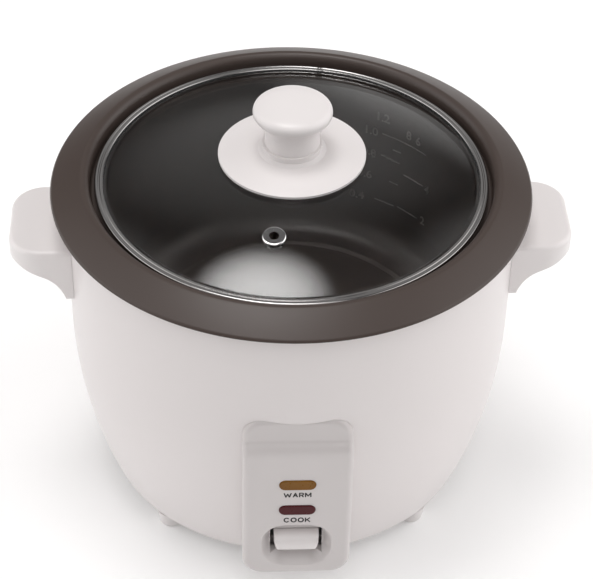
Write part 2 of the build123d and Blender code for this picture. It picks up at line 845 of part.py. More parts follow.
with BuildPart() as inlet_housing:
    with BuildSketch(Plane.XZ.offset(-100)):
        with Locations((0, inlet_z)):
            RectangleRounded(2 * inlet_half_width, 2 * inlet_half_height, 6)
    extrude(amount=100 - inlet_face)
    fillet(inlet_housing.faces().sort_by(Axis.Y)[-1].edges(), radius=2.2)
    add(body_envelope.part, mode=Mode.SUBTRACT)
    # cup that passes through the body's window
    with BuildSketch(Plane.XZ.offset(-socket_floor + 3)):
        with Locations((0, inlet_z)):
            Rectangle(2 * socket_half_width + 4, 2 * socket_half_height + 4)
    extrude(amount=-(inlet_face - socket_floor - 2))
    with BuildSketch(Plane.XZ.offset(-socket_floor)) as mouth_outline:
        with Locations((0, inlet_z)):
            Rectangle(2 * socket_half_width, 2 * socket_half_height)
        chamfer(mouth_outline.vertices().group_by(Axis.Y)[-1], length=4)
    extrude(amount=-socket_depth - 1, mode=Mode.SUBTRACT)
    for x, z in ((-7, -2), (7, -2), (0, 2)):
        with BuildSketch(Plane.XZ.offset(-socket_floor + 4)):
            with Locations((x, inlet_z + z)):
                Rectangle(2.04, 4.04)
        extrude(amount=-6, mode=Mode.SUBTRACT)
    for x in (-inlet_screw_x, inlet_screw_x):
        forward_cylinder(x, inlet_z, inlet_face + 1, 115, 3.4, Mode.SUBTRACT)
        forward_cylinder(x, inlet_z, 116, 100, 1.8, Mode.SUBTRACT)
inlet_housing.part.label = "inlet_housing"
export_step(inlet_housing.part, "parts/inlet_housing.step")

with BuildPart() as inlet_pins:
    for x, z in ((-7, -2), (7, -2), (0, 2)):
        with BuildSketch(Plane.XZ.offset(-socket_floor + 9)):
            with Locations((x, inlet_z + z)):
                Rectangle(2, 4)
        extrude(amount=-20)
inlet_pins.part.label = "inlet_pins"
export_step(inlet_pins.part, "parts/inlet_pins.step")

with BuildPart() as inlet_screws:
    for x in (-inlet_screw_x, inlet_screw_x):
        forward_cylinder(x, inlet_z, 117.2, 115.05, 3.1)
        forward_cylinder(x, inlet_z, 115.05, 103, 1.6)
        with BuildSketch(Plane.XZ.offset(-117.2)):
            with Locations((x, inlet_z)):
                Rectangle(4, 0.9)
                Rectangle(0.9, 4)
        extrude(amount=1.2, mode=Mode.SUBTRACT)
inlet_screws.part.label = "inlet_screws"
export_step(inlet_screws.part, "parts/inlet_screws.step")

# ---------------------------------------------------------------- small electrical parts
with BuildPart() as terminal_block:
    with BuildSketch(Plane.XY.offset(base_height + fit_gap)):
        with Locations((-35, 60)):
            Rectangle(26, 13)
    extrude(amount=11)
    for x in (-43, -35, -27):
        upright_cylinder(x, 60, 17, 24, 2.2, Mode.SUBTRACT)
terminal_block.part.label = "terminal_block"
export_step(terminal_block.part, "parts/terminal_block.step")

with BuildPart() as thermal_fuse:
    sideways_cylinder(44, 48.6, -7, 7, 2.2)
    with BuildSketch(Plane.YZ.offset(-4)):
        with Locations((44, 49.0)):
            Rectangle(7, 4.2)
    extrude(amount=8)
thermal_fuse.part.label = "thermal_fuse"
export_step(thermal_fuse.part, "parts/thermal_fuse.step")

with BuildPart() as warming_resistor:
    with BuildSketch(Plane.XY.offset(shield_floor + fit_gap)):
        with Locations((88, 0)):
            Rectangle(9, 30)
    extrude(amount=9)
    fillet(warming_resistor.edges().filter_by(Axis.Z), radius=1.5)
warming_resistor.part.label = "warming_resistor"
export_step(warming_resistor.part, "parts/warming_resistor.step")

# ---------------------------------------------------------------- inner pot
pot_floor_radius = pot_radius - pot_corner
pot_corner_top = pot_floor + pot_corner

with BuildPart() as inner_pot:
    with BuildSketch(Plane.XZ):
        with BuildLine():
            floor_in = Line((0, pot_floor), (floor_step_radius - floor_step_width / 2, pot_floor))
            floor_rise = Spline(
                floor_in @ 1,
                (floor_step_radius + floor_step_width / 2, pot_floor + floor_step),
                tangents=((1, 0), (1, 0)),
            )
            floor_rim = Line(floor_rise @ 1, (pot_floor_radius, pot_floor + floor_step))
            corner_in = TangentArc(
                floor_rim @ 1, (pot_radius, pot_corner_top + floor_step), tangent=floor_rim % 1
            )
            wall_up = Line(corner_in @ 1, (pot_radius, ledge_height - 1.2))
            ledge_in = TangentArc(wall_up @ 1, (pot_radius + 1.2, ledge_height), tangent=wall_up % 1)
            ledge = Line(ledge_in @ 1, (ledge_radius - 1.5, ledge_height))
            riser_foot = TangentArc(ledge @ 1, (ledge_radius, ledge_height + 1.5), tangent=ledge % 1)
            riser = Line(riser_foot @ 1, (ledge_radius + 0.6, crest_height - 3.2))
            crest = TangentArc(riser @ 1, (crest_radius + 1.2, crest_height - 0.4), tangent=riser % 1)
            brim = Line(crest @ 1, (brim_radius, brim_lip + 1.2))
            lip_edge = Line(brim @ 1, (brim_radius, brim_lip))
            brim_under = Line(lip_edge @ 1, (crest_radius + 0.6, crest_height - 2.4))
            riser_back = Line(brim_under @ 1, (ledge_radius + 2.2, ledge_height - pot_wall + 1))
            ledge_back = Line(riser_back @ 1, (ledge_radius + 1.4, ledge_height - pot_wall))
            ledge_under = Line(ledge_back @ 1, (pot_radius + pot_wall, ledge_height - pot_wall))
            wall_down = Line(ledge_under @ 1, (pot_radius + pot_wall, pot_corner_top))
            corner_out = TangentArc(
                wall_down @ 1, (pot_floor_radius, pot_floor - pot_wall), tangent=wall_down % 1
            )
            floor_out = Line(corner_out @ 1, (0, pot_floor - pot_wall))
            Line(floor_out @ 1, floor_in @ 0)
        make_face()
    revolve(axis=Axis.Z)
inner_pot.part.label = "inner_pot"
export_step(inner_pot.part, "parts/inner_pot.step")

# ---------------------------------------------------------------- lid
dome_rise = glass_top - glass_flat_top
dome_arc = (glass_flat_radius**2 + dome_rise**2) / (2 * dome_rise)


def dome_height(r):
    """Height of the glass's upper face at radius r."""
    return glass_top - dome_arc + sqrt(dome_arc**2 - r**2)


def upper_face_arc():
    """The glass's upper face in section, from its centre to the flat ring."""
    half_way = glass_flat_radius / 2
    return ThreePointArc(
        (0, glass_top), (half_way, dome_height(half_way)), (glass_flat_radius, glass_flat_top)
    )


vent_radius = sqrt(vent_x**2 + vent_y**2)
vent_slope = vent_radius / dome_arc
vent_plane = Plane(
    origin=(vent_x, vent_y, dome_height(vent_radius)),
    z_dir=(vent_x / vent_radius * vent_slope, vent_y / vent_radius * vent_slope, 1),
)

with BuildPart() as lid_glass:
    with BuildSketch(Plane.XZ):
        with BuildLine():
            over = upper_face_arc()
            ring_top = Line(over @ 1, (glass_radius, glass_flat_top))
            edge = Line(ring_top @ 1, (glass_radius, glass_flat_top - glass_thickness))
            ring_under = Line(edge @ 1, (glass_flat_radius - 1, glass_flat_top - glass_thickness))
            half_way = glass_flat_radius / 2
            below = ThreePointArc(
                ring_under @ 1,
                (half_way, dome_height(half_way) - glass_thickness),
                (0, glass_top - glass_thickness),
            )
            Line(below @ 1, over @ 0)
        make_face()
    revolve(axis=Axis.Z)
    upright_cylinder(0, 0, 190, 210, 3.0, Mode.SUBTRACT)
    with BuildSketch(vent_plane.offset(-10)):
        Circle(3.7)
    extrude(amount=20, mode=Mode.SUBTRACT)
lid_glass.part.label = "lid_glass"
export_step(lid_glass.part, "parts/lid_glass.step")

rim_top = glass_flat_top + 0.05 + rim_sheet
rim_bottom = glass_flat_top - glass_thickness - 0.05 - rim_sheet

with BuildPart() as lid_rim:
    turned(
        (rim_inner_radius, rim_top),
        (rim_radius - 0.5, rim_top),
        (rim_radius, rim_top - 0.5),
        (rim_radius, rim_bottom + 0.5),
        (rim_radius - 0.5, rim_bottom),
        (rim_inner_radius, rim_bottom),
        (rim_inner_radius, rim_bottom + rim_sheet),
        (rim_radius - rim_sheet, rim_bottom + rim_sheet),
        (rim_radius - rim_sheet, rim_top - rim_sheet),
        (rim_inner_radius, rim_top - rim_sheet),
    )
lid_rim.part.label = "lid_rim"
export_step(lid_rim.part, "parts/lid_rim.step")

with BuildPart() as vent_eyelet:
    with BuildSketch(vent_plane.offset(0.25)):
        Circle(6.0)
    extrude(amount=1.1)
    fillet(vent_eyelet.edges().filter_by(GeomType.CIRCLE).sort_by(Axis.Z)[-1], radius=0.8)
    with BuildSketch(vent_plane.offset(-glass_thickness - 1.2)):
        Circle(3.5)
    extrude(amount=glass_thickness + 1.6)
    with BuildSketch(vent_plane.offset(-glass_thickness - 1.2)):
        Circle(5.4)
    extrude(amount=0.8)
    with BuildSketch(vent_plane.offset(-10)):
        Circle(2.5)
    extrude(amount=20, mode=Mode.SUBTRACT)
vent_eyelet.part.label = "vent_eyelet"
export_step(vent_eyelet.part, "parts/vent_eyelet.step")

skirt_edge = dome_height(skirt_radius) + 0.1
skirt_rise = 3.2
bore_radius = 2.6

with BuildPart() as knob_skirt:
    with BuildSketch(Plane.XZ):
        with BuildLine():
            rim = Line((skirt_radius, skirt_edge), (skirt_radius, skirt_edge + 1.3))
            shoulder = ThreePointArc(
                rim @ 1, (30, skirt_edge + 3.0), (collar_radius + 2.2, skirt_edge + skirt_rise + 0.6)
            )
            cove = Line(shoulder @ 1, (collar_radius, skirt_edge + skirt_rise + 1.8))
            collar = Line(cove @ 1, (collar_radius, knob_seam))
            cap = Line(collar @ 1, (bore_radius, knob_seam))
            bore = Line(cap @ 1, (bore_radius, glass_top + 0.1))
            pad = Line(bore @ 1, (8, glass_top))
            roof = Line(pad @ 1, (9, skirt_edge + 2.6))
            under = Line(roof @ 1, (30, skirt_edge + 1.3))
            inner_rim = Line(under @ 1, (35.5, dome_height(35.5) + 0.12))
            Line(inner_rim @ 1, rim @ 0)
        make_face()
    revolve(axis=Axis.Z)
knob_skirt.part.label = "knob_skirt"
export_step(knob_skirt.part, "parts/knob_skirt.step")

with BuildPart() as knob:
    with BuildSketch(Plane.XZ):
        with BuildLine():
            seat = Line((0, knob_seam + fit_gap), (neck_radius, knob_seam + fit_gap))
            neck = Line(seat @ 1, (neck_radius - 0.4, knob_top - 15))
            flare = ThreePointArc(
                neck @ 1, (neck_radius + 1.6, knob_top - 10.4), (knob_radius - 1.2, knob_top - 7.8)
            )
            cheek = ThreePointArc(
                flare @ 1, (knob_radius, knob_top - 4.6), (knob_radius - 2.2, knob_top - 1.6)
            )
            crown_arc = Spline(cheek @ 1, (0, knob_top), tangents=((-1, 0.4), (-1, 0)))
            Line(crown_arc @ 1, seat @ 0)
        make_face()
    revolve(axis=Axis.Z)
    upright_cylinder(0, 0, knob_seam - 1, knob_top - 8, 2.05, Mode.SUBTRACT)
knob.part.label = "knob"
export_step(knob.part, "parts/knob.step")

glass_under = glass_top - glass_thickness
seal_bottom = glass_under - 1.1
washer_bottom = seal_bottom - 0.85

with BuildPart() as knob_seal:
    upright_cylinder(0, 0, seal_bottom, glass_under - 0.2, 9.5)
    upright_cylinder(0, 0, seal_bottom - 1, glass_under + 1, 2.2, Mode.SUBTRACT)
knob_seal.part.label = "knob_seal"
export_step(knob_seal.part, "parts/knob_seal.step")

with BuildPart() as knob_washer:
    upright_cylinder(0, 0, washer_bottom, seal_bottom - 0.05, 8.0)
    upright_cylinder(0, 0, washer_bottom - 1, seal_bottom + 1, 2.2, Mode.SUBTRACT)
knob_washer.part.label = "knob_washer"
export_step(knob_washer.part, "parts/knob_washer.step")

with BuildPart() as knob_screw:
    upright_cylinder(0, 0, washer_bottom - 2.4, washer_bottom - 0.05, 4.2)
    fillet(knob_screw.edges().sort_by(Axis.Z)[0], radius=1.4)
    upright_cylinder(0, 0, washer_bottom - 0.05, knob_top - 10, 2.0)
    with BuildSketch(Plane.XY.offset(washer_bottom - 2.4)):
        Rectangle(5, 1)
        Rectangle(1, 5)
    extrude(amount=1.5, mode=Mode.SUBTRACT)
knob_screw.part.label = "knob_screw"
export_step(knob_screw.part, "parts/knob_screw.step")
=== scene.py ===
"""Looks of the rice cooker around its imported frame: camera, studio, materials and fine pieces."""

import json
import math

import bpy
from mathutils import Matrix, Vector


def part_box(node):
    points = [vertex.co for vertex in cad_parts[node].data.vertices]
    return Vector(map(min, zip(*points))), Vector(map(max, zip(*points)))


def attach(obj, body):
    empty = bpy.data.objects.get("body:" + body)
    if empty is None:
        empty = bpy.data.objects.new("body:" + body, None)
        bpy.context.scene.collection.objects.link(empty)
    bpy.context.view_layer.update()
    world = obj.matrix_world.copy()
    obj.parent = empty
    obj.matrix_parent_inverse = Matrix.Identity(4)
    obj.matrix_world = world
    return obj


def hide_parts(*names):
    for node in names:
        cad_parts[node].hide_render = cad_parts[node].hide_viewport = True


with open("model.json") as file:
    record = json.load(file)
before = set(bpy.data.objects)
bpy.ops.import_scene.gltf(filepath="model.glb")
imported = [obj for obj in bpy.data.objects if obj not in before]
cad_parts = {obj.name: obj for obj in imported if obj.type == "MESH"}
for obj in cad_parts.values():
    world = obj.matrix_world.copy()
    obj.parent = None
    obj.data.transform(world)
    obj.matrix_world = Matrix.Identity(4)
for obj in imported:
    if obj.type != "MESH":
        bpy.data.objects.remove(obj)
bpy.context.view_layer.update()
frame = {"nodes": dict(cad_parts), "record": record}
MM = 0.001
# how far the lip at the edge of the pot's brim lies below the pot's crest, in mm
LIP_DROP = 9.3

# ---------------------------------------------------------------- camera
SENSOR_WIDTH = 36.0
LENS = 121.4165
# SENSOR_WIDTH and LENS in mm. PITCH is down from level, ROLL about the line of sight, TURN about the
# upright axis. DISTANCE runs along the line of sight in metres, and BRIM_IN_VIEW says how far the
# middle of the brim lies right of that line and below it, as shares of DISTANCE.
PITCH = math.radians(40.51)
ROLL = math.radians(1.2)
TURN = math.radians(-3.0)
DISTANCE = 1.0384
BRIM_IN_VIEW = (-0.0025, -0.0532)

brim = Vector((0.0, 0.0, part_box("inner_pot")[1].z - LIP_DROP * MM))
forward = Vector((0.0, math.cos(PITCH), -math.sin(PITCH)))
right = Vector((1.0, 0.0, 0.0))
down = forward.cross(right)
rolled_right = right * math.cos(ROLL) - down * math.sin(ROLL)
rolled_down = right * math.sin(ROLL) + down * math.cos(ROLL)
place = brim - DISTANCE * (
    forward + rolled_right * BRIM_IN_VIEW[0] + rolled_down * BRIM_IN_VIEW[1]
)
axes = Matrix((rolled_right, -rolled_down, -forward)).transposed()
turned = Matrix.Rotation(TURN, 4, "Z")
camera = bpy.data.objects.new("camera", bpy.data.cameras.new("camera"))
bpy.context.scene.collection.objects.link(camera)
camera.matrix_world = turned @ Matrix.Translation(place) @ axes.to_4x4()
camera.data.sensor_width = SENSOR_WIDTH
camera.data.lens = LENS
camera.data.clip_end = 20.0
bpy.context.scene.camera = camera
bpy.context.scene.view_settings.view_transform = "Standard"


# ---------------------------------------------------------------- node helpers
class Graph:
    """A node tree being wired: add() makes a node, sets its inputs and links those given as sockets."""

    def __init__(self, tree):
        self.tree = tree
        self.tree.nodes.clear()

    def add(self, kind, out=0, settings=None, **inputs):
        node = self.tree.nodes.new(kind)
        for key, value in (settings or {}).items():
            setattr(node, key, value)
        for key, value in inputs.items():
            name = key.replace("_", " ")
            socket = node.inputs[int(key[1:])] if key[1:].isdigit() else node.inputs[name]
            if isinstance(value, bpy.types.NodeSocket):
                self.tree.links.new(value, socket)
            else:
                socket.default_value = value
        return node.outputs[out] if node.outputs else None

    def math(self, operation, a, b=0.0):
        return self.add("ShaderNodeMath", settings={"operation": operation}, i0=a, i1=b)

    def between(self, value, low, high, to_low, to_high):
        """value mapped smoothly from low..high to to_low..to_high."""
        return self.add(
            "ShaderNodeMapRange",
            settings={"interpolation_type": "SMOOTHSTEP"},
            i0=value, i1=low, i2=high, i3=to_low, i4=to_high,
        )

    def ramp(self, fac, *stops):
        """A colour ramp with (place, colour) stops."""
        node = self.tree.nodes.new("ShaderNodeValToRGB")
        points = node.color_ramp.elements
        while len(points) < len(stops):
            points.new(0.5)
        for point, (place_at, colour) in zip(points, stops):
            point.position = place_at
            point.color = (*colour, 1.0)
        self.tree.links.new(fac, node.inputs[0])
        return node.outputs[0]


# ---------------------------------------------------------------- studio
world = bpy.data.worlds.new("studio")
bpy.context.scene.world = world
world.use_nodes = True
sky = Graph(world.node_tree)
direction = sky.add("ShaderNodeTexCoord", out="Generated")
# direction of each soft light, the angles where it is full and where it ends, and its strength
LIGHTS = (
    ((-0.10, 0.13, 0.98), 0.0, 17.0, 8.0),
    ((-0.92, 0.02, 0.50), 14.0, 46.0, 1.5),
    ((0.93, 0.02, 0.46), 14.0, 46.0, 1.85),
    ((0.0, -0.50, 0.86), 6.0, 26.0, 1.9),
    ((0.0, 0.80, 0.60), 8.0, 30.0, 0.3),
    ((0.45, 1.0, -0.02), 6.0, 26.0, 0.5),
)
ambient = 0.08
total = ambient
for toward, full, ends, strength in LIGHTS:
    facing = sky.add(
        "ShaderNodeVectorMath", out="Value", settings={"operation": "DOT_PRODUCT"},
        i0=direction, i1=Vector(toward).normalized(),
    )
    glow = sky.between(
        facing, math.cos(math.radians(ends)), math.cos(math.radians(full)), 0.0, strength
    )
    total = sky.math("ADD", glow, total)
backdrop = sky.add("ShaderNodeBackground", Color=(1.0, 0.985, 0.98, 1.0), Strength=total)
sky.add("ShaderNodeOutputWorld", Surface=backdrop)

floor_mesh = bpy.data.meshes.new("floor")
floor_half = 6.0
floor_mesh.from_pydata(
    [(x * floor_half, y * floor_half, 0.0) for x, y in ((-1, -1), (1, -1), (1, 1), (-1, 1))],
    [],
    [(0, 1, 2, 3)],
)
floor = bpy.data.objects.new("floor", floor_mesh)
bpy.context.scene.collection.objects.link(floor)
floor_material = bpy.data.materials.new("floor")
floor_material.use_nodes = True
paper = Graph(floor_material.node_tree)
paper.add(
    "ShaderNodeOutputMaterial",
    Surface=paper.add(
        "ShaderNodeBsdfPrincipled", Base_Color=(0.9, 0.9, 0.9, 1.0), Roughness=0.8,
        Emission_Color=(1.0, 1.0, 1.0, 1.0), Emission_Strength=0.12,
    ),
)
floor_mesh.materials.append(floor_material)


# ---------------------------------------------------------------- materials
def material(
    name,
    colour,
    roughness,
    metallic=0.0,
    grain=400.0,
    tint=0.03,
    rough_spread=0.06,
    bump=0.02,
    stretch=(1.0, 1.0, 1.0),
    **sockets,
):
    """A principled finish whose colour, roughness and relief vary with grain (cycles per metre).

    tint is the share the colour varies by, bump the height of the relief in mm.
    """
    made = bpy.data.materials.new(name)
    made.use_nodes = True
    g = Graph(made.node_tree)
    at = g.add("ShaderNodeTexCoord", out="Object")
    at = g.add("ShaderNodeMapping", i0=at, i3=stretch)
    fine = g.add("ShaderNodeTexNoise", Vector=at, Scale=grain, Detail=4.0, Roughness=0.55)
    broad = g.add("ShaderNodeTexNoise", Vector=at, Scale=grain / 22, Detail=2.0)
    dark = tuple(c * (1 - tint) for c in colour)
    light = tuple(min(1.0, c * (1 + tint)) for c in colour)
    shade = g.ramp(broad, (0.3, dark), (0.7, light))
    rough = g.between(fine, 0.3, 0.7, roughness - rough_spread / 2, roughness + rough_spread / 2)
    relief = g.add("ShaderNodeBump", Strength=1.0, Distance=bump * MM, Height=fine)
    shader = g.add(
        "ShaderNodeBsdfPrincipled",
        Base_Color=shade,
        Roughness=rough,
        Metallic=metallic,
        Normal=relief,
        **sockets,
    )
    g.add("ShaderNodeOutputMaterial", Surface=shader)
    return made


FINISHES = {
    "body_paint": dict(
        colour=(0.76, 0.72, 0.715), roughness=0.3, rough_spread=0.01, grain=160, bump=0.0006,
        tint=0.006,
    ),
    "white_plastic": dict(
        colour=(0.80, 0.765, 0.76), roughness=0.28, rough_spread=0.01, grain=160, bump=0.0006,
        tint=0.006,
    ),
    "cover_plastic": dict(colour=(0.72, 0.69, 0.68), roughness=0.5, grain=1200, bump=0.008),
    "pot_coating": dict(
        colour=(0.062, 0.046, 0.040), roughness=0.36, grain=260, bump=0.0006,
        rough_spread=0.02, tint=0.03, Specular_IOR_Level=0.36,
    ),
    "rim_steel": dict(
        colour=(0.40, 0.39, 0.385), roughness=0.13, metallic=1.0, grain=900, bump=0.0008
    ),
    "chrome": dict(colour=(0.78, 0.77, 0.77), roughness=0.07, metallic=1.0, grain=700, bump=0.0005),
    "screw_steel": dict(
        colour=(0.55, 0.55, 0.56), roughness=0.32, metallic=1.0, grain=1200, bump=0.003
    ),
    "sheet_steel": dict(
        colour=(0.5, 0.5, 0.51), roughness=0.35, metallic=1.0, grain=700, bump=0.003
    ),
    "cast_aluminium": dict(
        colour=(0.6, 0.6, 0.61), roughness=0.42, metallic=1.0, grain=600, bump=0.01
    ),
    "sheet_aluminium": dict(
        colour=(0.7, 0.7, 0.71), roughness=0.32, metallic=1.0, grain=700, bump=0.003
    ),
    "element_steel": dict(
        colour=(0.16, 0.15, 0.155), roughness=0.5, metallic=1.0, grain=900, bump=0.006
    ),
    "magnet_metal": dict(
        colour=(0.06, 0.06, 0.065), roughness=0.45, metallic=0.8, grain=900, bump=0.006
    ),
    "ferrite": dict(colour=(0.035, 0.035, 0.038), roughness=0.6, grain=1500, bump=0.008),
    "spring_steel": dict(
        colour=(0.42, 0.42, 0.44), roughness=0.25, metallic=1.0, grain=1500, bump=0.001
    ),
    "amber_lens": dict(
        colour=(0.16, 0.068, 0.006), roughness=0.3, grain=1100, bump=0.03, tint=0.3,
        stretch=(1.0, 1.0, 0.35), Specular_IOR_Level=0.2,
    ),
    "red_lens": dict(
        colour=(0.065, 0.004, 0.007), roughness=0.3, grain=1200, bump=0.004, tint=0.1,
        Specular_IOR_Level=0.2,
    ),
    "lamp_glass": dict(
        colour=(0.9, 0.78, 0.66), roughness=0.05, grain=500, bump=0.001, Transmission_Weight=0.85
    ),
    "board": dict(colour=(0.48, 0.37, 0.16), roughness=0.7, grain=1200, bump=0.01, tint=0.1),
    "black_plastic": dict(colour=(0.02, 0.02, 0.02), roughness=0.45, grain=1200, bump=0.006),
    "ceramic": dict(colour=(0.74, 0.71, 0.64), roughness=0.75, grain=1200, bump=0.01),
    "brass": dict(colour=(0.62, 0.47, 0.2), roughness=0.3, metallic=1.0, grain=900, bump=0.003),
    "silicone": dict(colour=(0.74, 0.73, 0.72), roughness=0.4, grain=700, bump=0.003),
    "lid_glass": dict(
        colour=(0.97, 0.98, 0.975), roughness=0.015, rough_spread=0.01, grain=60, bump=0.0,
        tint=0.004, Transmission_Weight=1.0, IOR=1.46,
    ),
}
materials = {slot: material(slot, **finish) for slot, finish in FINISHES.items()}

# the housing gets a greyer white than the handles and the knob: painted shade, standing in for the
# shade on its front face
HOUSING_SHADED_WHITE = material(
    "housing_shaded_white", (0.63, 0.595, 0.59), 0.3, rough_spread=0.01, grain=160, bump=0.0006, tint=0.006
)

for part in frame["record"]["subparts"]:
    piece = frame["nodes"][part["node"]]
    if not piece.material_slots:
        piece.data.materials.append(None)
    for holder in piece.material_slots:
        holder.material = materials[part["material_slot"]]
    # the housing takes the greyer white with the painted shade
    if part["node"] == "control_housing":
        piece.material_slots[0].material = HOUSING_SHADED_WHITE


# ---------------------------------------------------------------- shape helpers
def rounded(points, steps=7):
    """A closed section of (r, z, radius) corners in mm, each corner rounded to its radius."""
    section = []
    count = len(points)
    for i, (r, z, radius) in enumerate(points):
        here = Vector((r, z))
        before = (Vector(points[i - 1][:2]) - here).normalized()
        after = (Vector(points[(i + 1) % count][:2]) - here).normalized()
        angle = before.angle(after)
        if radius <= 0 or angle > math.radians(179.5):
            section.append(here)
            continue
        reach = radius / math.tan(angle / 2)
        centre = here + (before + after).normalized() * radius / math.sin(angle / 2)
        start = here + before * reach - centre
        sweep = start.angle_signed(here + after * reach - centre)
        for k in range(steps + 1):
            turn = Matrix.Rotation(-sweep * k / steps, 2)
            section.append(centre + turn @ start)
    return section


def mesh_piece(name, vertices, faces, body, slot, sharp=38.0, finish=None):
    """A smooth-shaded mesh (metres) that rides on a body."""
    mesh = bpy.data.meshes.new(name)
    mesh.from_pydata(vertices, [], faces)
    mesh.validate()
    mesh.shade_smooth()
    mesh.set_sharp_from_angle(angle=math.radians(sharp))
    mesh.materials.append(finish or materials[slot])
    piece = bpy.data.objects.new(name, mesh)
    bpy.context.scene.collection.objects.link(piece)
    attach(piece, body)
    return piece


def lathe(name, section, body, slot, segments=192, notch=None, **options):
    """A closed section (r, z in mm) turned about the Z axis. Points on the axis become one vertex.

    notch is (angle in degrees, centre of the section, scale): a fine joint line across the ring.
    """
    turns = [(360.0 * k / segments, 1.0) for k in range(segments)]
    if notch:
        at, centre, scale = notch
        turns = [t for t in turns if abs(t[0] - at) > 0.4]
        turns += [(at - 0.3, 1.0), (at - 0.14, scale), (at + 0.14, scale), (at + 0.3, 1.0)]
        turns.sort()
    else:
        centre = Vector((0.0, 0.0))
    vertices, rings = [], []
    for point in section:
        ring = []
        for angle, scale in turns:
            r, z = centre + (Vector(point) - Vector(centre)) * scale if scale != 1.0 else point
            if abs(r) < 1e-6:
                if not ring:
                    vertices.append((0.0, 0.0, z * MM))
                ring.append(len(vertices) - 1)
                continue
            a = math.radians(angle)
            vertices.append((r * math.cos(a) * MM, r * math.sin(a) * MM, z * MM))
            ring.append(len(vertices) - 1)
        rings.append(ring)
    faces = []
    on_axis = [abs(p[0]) < 1e-6 for p in section]
    for i in range(len(section)):
        j = (i + 1) % len(section)
        if on_axis[i] and on_axis[j]:
            continue
        for k in range(len(turns)):
            m = (k + 1) % len(turns)
            corners = [rings[i][k], rings[i][m], rings[j][m], rings[j][k]]
            faces.append(tuple(dict.fromkeys(corners)))
    return mesh_piece(name, vertices, faces, body, slot, **options)


def top_of(node):
    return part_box(node)[1].z / MM


def bottom_of(node):
    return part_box(node)[0].z / MM


# ---------------------------------------------------------------- inner pot
POT_R = 98.0
WALL = 1.8
FLOOR = bottom_of("inner_pot") + WALL
CREST = top_of("inner_pot")
BRIM_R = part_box("inner_pot")[1].x / MM
LIP = CREST - LIP_DROP
LEDGE = CREST - 9.5
pot_section = rounded(
    [
        (0.0, FLOOR, 0),
        (74.6, FLOOR, 3.0),
        (77.4, FLOOR + 0.8, 3.0),
        (POT_R, FLOOR + 0.8, 18.0),
        (POT_R, LEDGE, 1.2),
        (104.3, LEDGE, 1.4),
        (104.9, CREST + 1.9, 3.6),
        (BRIM_R - 0.9, LIP + 1.75, 1.6),
        (BRIM_R, LIP + 0.2, 0.5),
        (BRIM_R - 0.6, LIP, 0.3),
        (108.8, CREST - 2.6, 2.0),
        (106.2, LEDGE - WALL, 0.8),
        (POT_R + WALL, LEDGE - WALL, 1.0),
        (POT_R + WALL, FLOOR - WALL, 19.8),
        (0.0, FLOOR - WALL, 0),
    ]
)
pot_shell = lathe("pot_shell", pot_section, "pot", "pot_coating", segments=240)
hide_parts("inner_pot")


def wall_point(angle, z, proud):
    """A point on the pot's inner wall: angle in degrees, z and proud (towards the axis) in mm."""
    a = math.radians(angle)
    r = POT_R - proud
    return (r * math.cos(a) * MM, r * math.sin(a) * MM, z * MM)


def ridge(start, end, z, half_width=0.42, proud=0.38):
    """A raised level line on the wall, as vertices and faces. It tapers off at both ends."""
    section = [(-1.0, -0.1), (-0.7, 0.7), (0.0, 1.0), (0.7, 0.7), (1.0, -0.1)]
    steps = max(4, int(abs(end - start) * 2))
    rows = []
    for k in range(steps + 1):
        t = k / steps
        taper = min(1.0, 6 * t + 0.15, 6 * (1 - t) + 0.15)
        angle = start + (end - start) * t
        rows.append([wall_point(angle, z + h * half_width, p * proud * taper) for h, p in section])
    vertices = [v for row in rows for v in row]
    n = len(section)
    faces = [
        (k * n + i, (k + 1) * n + i, (k + 1) * n + i + 1, k * n + i + 1)
        for k in range(steps)
        for i in range(n - 1)
    ]
    faces += [tuple(range(n)), tuple(range(steps * n + n - 1, steps * n - 1, -1))]
    return vertices, faces


NUMERAL_SIZE = 7.5
NUMERAL_DEPTH = 0.5


def lettering(text, size, depth):
    """Text as mesh vertices and faces in mm: x to the right, y up, z out of the surface."""
    curve = bpy.data.curves.new(text, "FONT")
    curve.body = text
    curve.size = size
    curve.extrude = depth / 2
    curve.offset = 0.015 * size
    curve.align_x = "CENTER"
    curve.align_y = "CENTER"
    curve.resolution_u = 3
    holder = bpy.data.objects.new(text, curve)
    bpy.context.scene.collection.objects.link(holder)
    mesh = bpy.data.meshes.new_from_object(holder.evaluated_get(bpy.context.evaluated_depsgraph_get()))
    vertices = [tuple(v.co) for v in mesh.vertices]
    faces = [tuple(p.vertices) for p in mesh.polygons]
    bpy.data.objects.remove(holder)
    bpy.data.curves.remove(curve)
    bpy.data.meshes.remove(mesh)
    return vertices, faces


def gather(name, shells, body, slot, **options):
    """One piece made of several (vertices, faces) shells."""
    vertices, faces = [], []
    for shell_vertices, shell_faces in shells:
        base = len(vertices)
        vertices += shell_vertices
        faces += [tuple(base + i for i in face) for face in shell_faces]
    return mesh_piece(name, vertices, faces, body, slot, **options)


# level lines (start and end angle in degrees, height in mm) and their numerals
LINES = (
    (56.4, 38.2, 152.5),
    (52.1, 48.8, 144.6),
    (56.5, 49.0, 137.5),
    (47.2, 38.6, 130.8),
    (52.7, 49.2, 122.0),
    (58.0, 50.3, 105.8),
    (49.0, 40.2, 106.4),
)
NUMERALS = (
    ("1.2", 56.5, 163.0),
    ("1.0", 60.5, 152.0),
    ("0.8", 60.8, 137.0),
    ("0.6", 62.0, 121.5),
    ("0.4", 64.5, 105.0),
    ("8", 46.0, 158.5),
    ("6", 42.0, 158.0),
    ("4", 36.6, 130.0),
    ("2", 37.6, 107.0),
)
level_marks = [ridge(*line) for line in LINES]
for text, angle, z in NUMERALS:
    flat_vertices, flat_faces = lettering(text, NUMERAL_SIZE, NUMERAL_DEPTH)
    bent = [
        wall_point(angle - math.degrees(x / POT_R), z + y, h + 0.05) for x, y, h in flat_vertices
    ]
    level_marks.append((bent, flat_faces))
